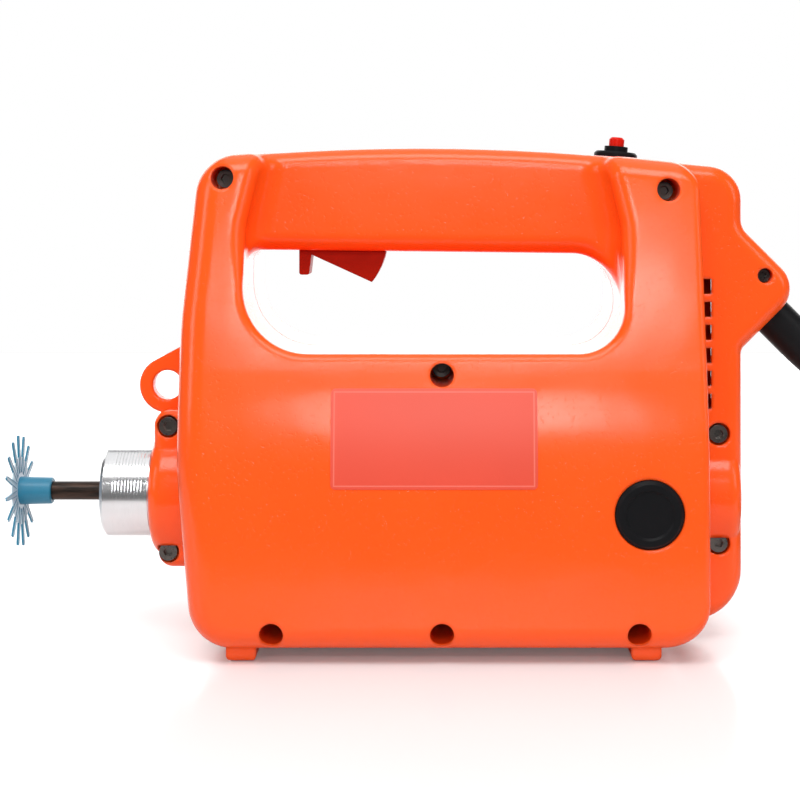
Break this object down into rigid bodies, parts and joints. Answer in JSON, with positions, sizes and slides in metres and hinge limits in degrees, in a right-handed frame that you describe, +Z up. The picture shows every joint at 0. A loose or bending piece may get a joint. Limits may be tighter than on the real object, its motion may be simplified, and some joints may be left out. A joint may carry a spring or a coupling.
{
  "type": "concrete vibrator drive unit",
  "caption": "Hand-held electric drive unit of a concrete vibrator: split moulded housing with loop grip and trigger, threaded nosepiece, capped drive shaft and mains lead.",
  "frame": {"origin": "on the floor under the middle of the drive unit's length and width, the mains lead left out", "axes": "+Z up; -X points forward along the motor axis out of the hose thread; -Y is the left side, where the screw heads are"},
  "size_m": [0.6697, 0.1627, 0.2368],
  "materials": {
    "housing": "moulded, satin gloss",
    "screws": "blackened steel, lightly oiled",
    "nosepiece": "turned, with fine lathe lines",
    "bearing_steel": "ground",
    "black_rubber": "matte",
    "shaft_steel": "oil-blackened",
    "fan_plastic": "moulded",
    "core_steel": "stacked sheet, dull",
    "copper": "enamelled copper",
    "brass": "drawn",
    "carbon": "sintered carbon",
    "spring_steel": "drawn wire and rod",
    "black_caps": "moulded, satin",
    "trigger_red": "moulded, satin",
    "switch_black": "moulded",
    "breaker_black": "moulded, satin",
    "button_red": "moulded, glossy",
    "cable_black": "matte rubber sheath",
    "plug_black": "matte",
    "pin_plating": "nickel plate",
    "cap_blue": "soft moulded plastic"
  },
  "bodies": {
    "root": {"housing_left": "housing", "housing_right": "housing", "strap_eye": "housing", "housing_screws": "screws", "collar_screws": "screws", "spine_screws": "screws", "nose_screw": "screws", "cord_clamp_screws": "screws", "nosepiece": "nosepiece", "front_bearing_outer": "bearing_steel", "rear_bearing_outer": "bearing_steel", "bearing_sleeve": "black_rubber", "lead_boot": "black_rubber", "stator_core": "core_steel", "field_coils": "copper", "brush_holders": "brass", "carbon_brushes": "carbon", "brush_springs": "spring_steel", "trigger_pin": "spring_steel", "brush_cap_left": "black_caps", "brush_cap_right": "black_caps", "switch_body": "switch_black", "breaker_body": "switch_black", "cord_clamp": "switch_black", "breaker_bezel": "breaker_black", "lead_inside": "cable_black", "mains_lead": "cable_black", "lead_coil": "cable_black", "lead_tail": "cable_black", "mains_plug": "plug_black", "plug_pins": "pin_plating"},
    "rotor": {"rotor_shaft": "shaft_steel", "front_bearing_inner": "bearing_steel", "rear_bearing_inner": "bearing_steel", "cooling_fan": "fan_plastic", "armature_core": "core_steel", "armature_windings": "copper", "commutator": "copper"},
    "front_balls": {"front_bearing_balls": "bearing_steel"},
    "rear_balls": {"rear_bearing_balls": "bearing_steel"},
    "cap": {"shaft_cap": "cap_blue"},
    "trigger": {"trigger": "trigger_red"},
    "plunger": {"switch_plunger": "switch_black"},
    "button": {"reset_button": "button_red"}
  },
  "joints": [
    {"name": "rotor_spin", "type": "hinge", "parent": "root", "child": "rotor", "pos_m": [0, 0, 0.0672], "axis": [1, 0, 0], "continuous": true},
    {"name": "front_balls_spin", "type": "hinge", "parent": "root", "child": "front_balls", "pos_m": [0, 0, 0.0672], "axis": [1, 0, 0], "continuous": true},
    {"name": "rear_balls_spin", "type": "hinge", "parent": "root", "child": "rear_balls", "pos_m": [0, 0, 0.0672], "axis": [1, 0, 0], "continuous": true},
    {"name": "cap_pull", "type": "slide", "parent": "rotor", "child": "cap", "axis": [-1, 0, 0], "range_m": [0, 0.05]},
    {"name": "trigger_pull", "type": "hinge", "parent": "root", "child": "trigger", "pos_m": [-0.0415, 0, 0.19], "axis": [0, -1, 0], "range_deg": [0, 12], "stiffness_Nm_per_rad": 1, "springref_deg": -11.46},
    {"name": "plunger_slide", "type": "slide", "parent": "root", "child": "plunger", "axis": [0, 0, 1], "range_m": [0, 0.0065]},
    {"name": "reset_press", "type": "slide", "parent": "root", "child": "button", "axis": [-0.0872, 0, -0.9962], "range_m": [0, 0.002], "stiffness_N_per_m": 800, "springref_m": -0.001}
  ],
  "couplings": [
    {"joint": "front_balls_spin", "follows": "rotor_spin", "ratio": 0.3818},
    {"joint": "rear_balls_spin", "follows": "rotor_spin", "ratio": 0.3818},
    {"joint": "trigger_pull", "follows": "plunger_slide", "rad_per_m": 32.2}
  ]
}
